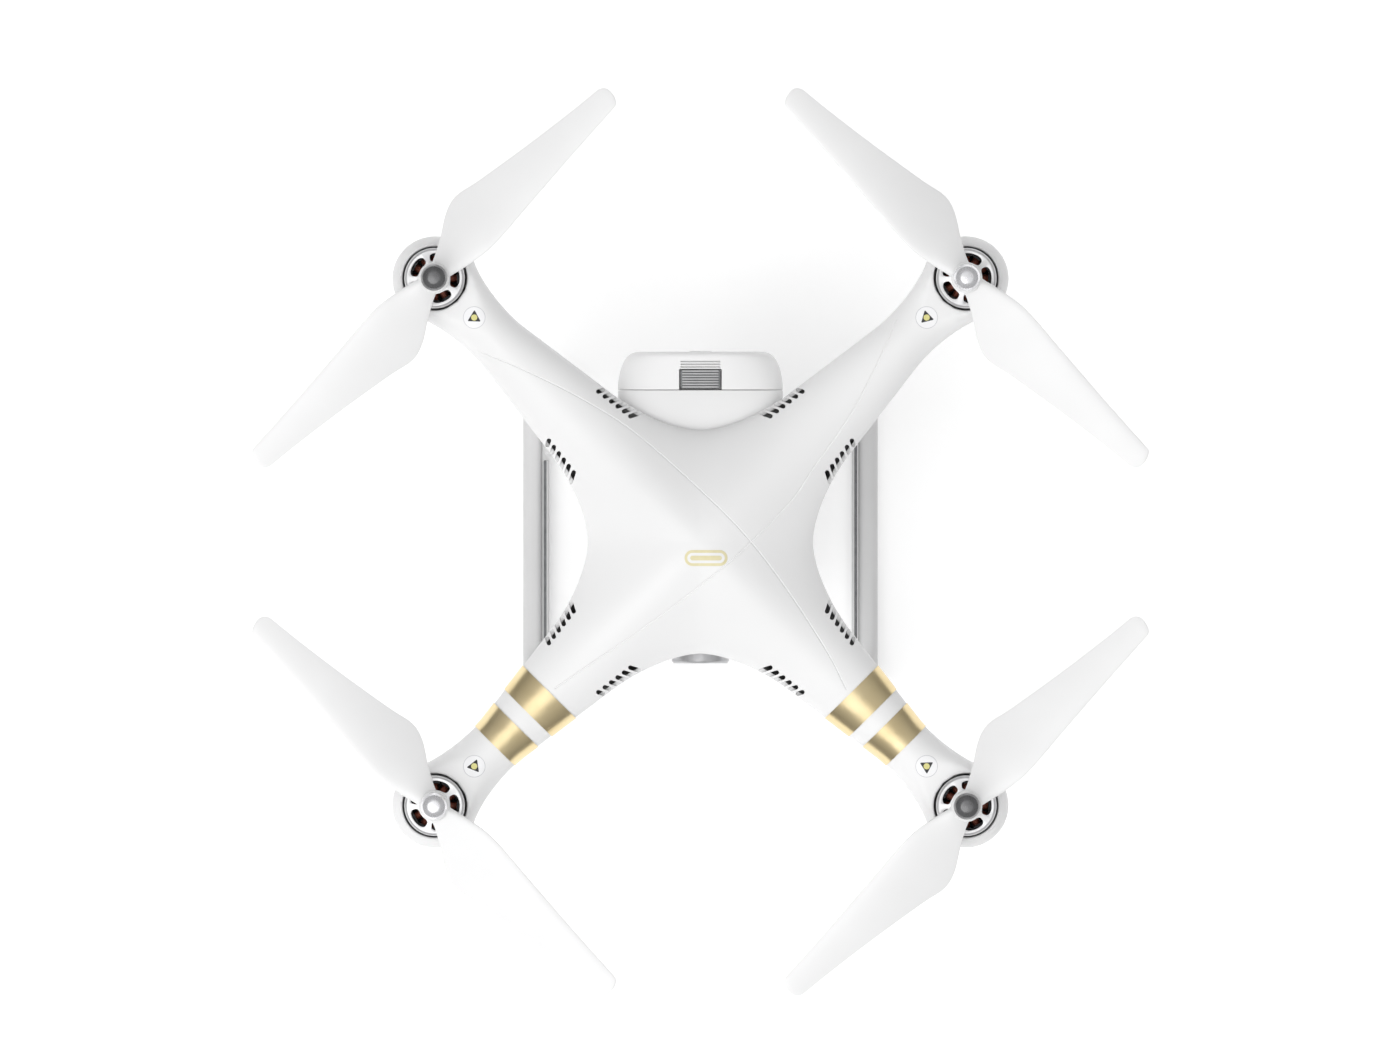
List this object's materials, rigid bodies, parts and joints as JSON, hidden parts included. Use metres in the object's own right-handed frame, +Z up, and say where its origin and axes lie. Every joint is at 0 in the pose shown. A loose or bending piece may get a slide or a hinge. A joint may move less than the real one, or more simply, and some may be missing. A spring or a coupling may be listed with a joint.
{
  "type": "camera quadcopter drone",
  "caption": "White camera quadcopter: X-shaped shell, two-blade propellers, gold arm bands, slide-in battery, skid landing gear and a stabilised camera underneath.",
  "frame": {"origin": "on the ground, under the middle of the propellers' box", "axes": "+Z up, -Y towards the camera and the front arms, +Y towards the battery, +X to the right of the plan seen from above with the battery at the top"},
  "size_m": [0.4182, 0.4236, 0.1855],
  "materials": {
    "shell_white": "smooth satin-gloss moulded white",
    "satin_white": "fine satin white",
    "propeller_plastic": "slightly translucent white",
    "gold_foil": "satin gold foil",
    "bell_metal": "silver, lightly brushed",
    "nut_silver": "pearl silver",
    "nut_dark": "dark grey anodised",
    "copper": "enamelled copper windings",
    "lead_sleeve": "matt black sleeve",
    "light_lens": "frosted clear",
    "damper_rubber": "grey soft rubber",
    "circuit_board": "solder mask green",
    "lens_glass": "coated dark glass",
    "black_plastic": "fine matt black",
    "camera_metal": "bead blasted grey",
    "gimbal_metal": "bead blasted silver"
  },
  "bodies": {
    "airframe": {"antenna_cover_left": "satin_white", "antenna_cover_right": "satin_white", "bottom_shell": "shell_white", "compass": "satin_white", "damper_front_left": "damper_rubber", "damper_front_right": "damper_rubber", "damper_rear_left": "damper_rubber", "damper_rear_right": "damper_rubber", "flight_controller": "circuit_board", "gimbal_base": "gimbal_metal", "gimbal_plate": "satin_white", "gps_module": "satin_white", "landing_gear_left": "satin_white", "landing_gear_right": "satin_white", "led_lens_front_left": "light_lens", "led_lens_front_right": "light_lens", "led_lens_rear_left": "light_lens", "led_lens_rear_right": "light_lens", "main_board": "circuit_board", "motor_lead_front_left": "lead_sleeve", "motor_lead_front_right": "lead_sleeve", "motor_lead_rear_left": "lead_sleeve", "motor_lead_rear_right": "lead_sleeve", "motor_stator_front_left": "copper", "motor_stator_front_right": "copper", "motor_stator_rear_left": "copper", "motor_stator_rear_right": "copper", "top_shell": "shell_white", "trim_band_inner_front_left": "gold_foil", "trim_band_inner_front_right": "gold_foil", "trim_band_outer_front_left": "gold_foil", "trim_band_outer_front_right": "gold_foil", "vision_module": "black_plastic", "yaw_motor": "gimbal_metal"},
    "rotor_front_right": {"rotor_bell_front_right": "bell_metal", "propeller_front_right": "propeller_plastic", "prop_nut_front_right": "nut_dark"},
    "rotor_front_left": {"rotor_bell_front_left": "bell_metal", "propeller_front_left": "propeller_plastic", "prop_nut_front_left": "nut_silver"},
    "rotor_rear_right": {"rotor_bell_rear_right": "bell_metal", "propeller_rear_right": "propeller_plastic", "prop_nut_rear_right": "nut_silver"},
    "rotor_rear_left": {"rotor_bell_rear_left": "bell_metal", "propeller_rear_left": "propeller_plastic", "prop_nut_rear_left": "nut_dark"},
    "battery": {"battery_case": "satin_white", "battery_cap": "shell_white"},
    "battery_latch_top": {"battery_latch_top": "satin_white"},
    "battery_latch_bottom": {"battery_latch_bottom": "satin_white"},
    "battery_button": {"battery_button": "satin_white"},
    "link_button": {"link_button": "satin_white"},
    "gimbal_yaw": {"gimbal_yaw_arm": "gimbal_metal", "roll_motor": "gimbal_metal"},
    "gimbal_roll": {"gimbal_roll_arm": "gimbal_metal", "pitch_motor": "gimbal_metal"},
    "camera": {"camera_housing": "camera_metal", "lens_barrel": "camera_metal", "lens_glass": "lens_glass"}
  },
  "joints": [
    {"name": "rotor_spin_front_right", "type": "hinge", "parent": "airframe", "child": "rotor_front_right", "pos_m": [0.1242, -0.1232, 0.165], "axis": [0, 0, 1], "continuous": true},
    {"name": "rotor_spin_front_left", "type": "hinge", "parent": "airframe", "child": "rotor_front_left", "pos_m": [-0.1242, -0.1232, 0.165], "axis": [0, 0, 1], "continuous": true},
    {"name": "rotor_spin_rear_right", "type": "hinge", "parent": "airframe", "child": "rotor_rear_right", "pos_m": [0.1242, 0.1232, 0.165], "axis": [0, 0, 1], "continuous": true},
    {"name": "rotor_spin_rear_left", "type": "hinge", "parent": "airframe", "child": "rotor_rear_left", "pos_m": [-0.1242, 0.1232, 0.165], "axis": [0, 0, 1], "continuous": true},
    {"name": "battery_slide", "type": "slide", "parent": "airframe", "child": "battery", "axis": [0, 1, 0], "range_m": [0, 0.115]},
    {"name": "latch_press_top", "type": "slide", "parent": "battery", "child": "battery_latch_top", "axis": [0, 0, -1], "range_m": [0, 0.002], "stiffness_N_per_m": 1200},
    {"name": "latch_press_bottom", "type": "slide", "parent": "battery", "child": "battery_latch_bottom", "axis": [0, 0, 1], "range_m": [0, 0.002], "stiffness_N_per_m": 1200},
    {"name": "battery_button_press", "type": "slide", "parent": "battery", "child": "battery_button", "axis": [0, -1, 0], "range_m": [0, 0.001], "stiffness_N_per_m": 1500},
    {"name": "link_button_press", "type": "slide", "parent": "airframe", "child": "link_button", "axis": [0, 0, 1], "range_m": [0, 0.0008], "stiffness_N_per_m": 1000},
    {"name": "gimbal_yaw_turn", "type": "hinge", "parent": "airframe", "child": "gimbal_yaw", "pos_m": [0, 0.008, 0.075], "axis": [0, 0, 1], "range_deg": [-30, 30]},
    {"name": "gimbal_roll_turn", "type": "hinge", "parent": "gimbal_yaw", "child": "gimbal_roll", "pos_m": [0, 0.009, 0.058], "axis": [0, 1, 0], "range_deg": [-30, 30]},
    {"name": "camera_pitch_turn", "type": "hinge", "parent": "gimbal_roll", "child": "camera", "pos_m": [0.02, -0.03, 0.058], "axis": [1, 0, 0], "range_deg": [-30, 90]}
  ]
}
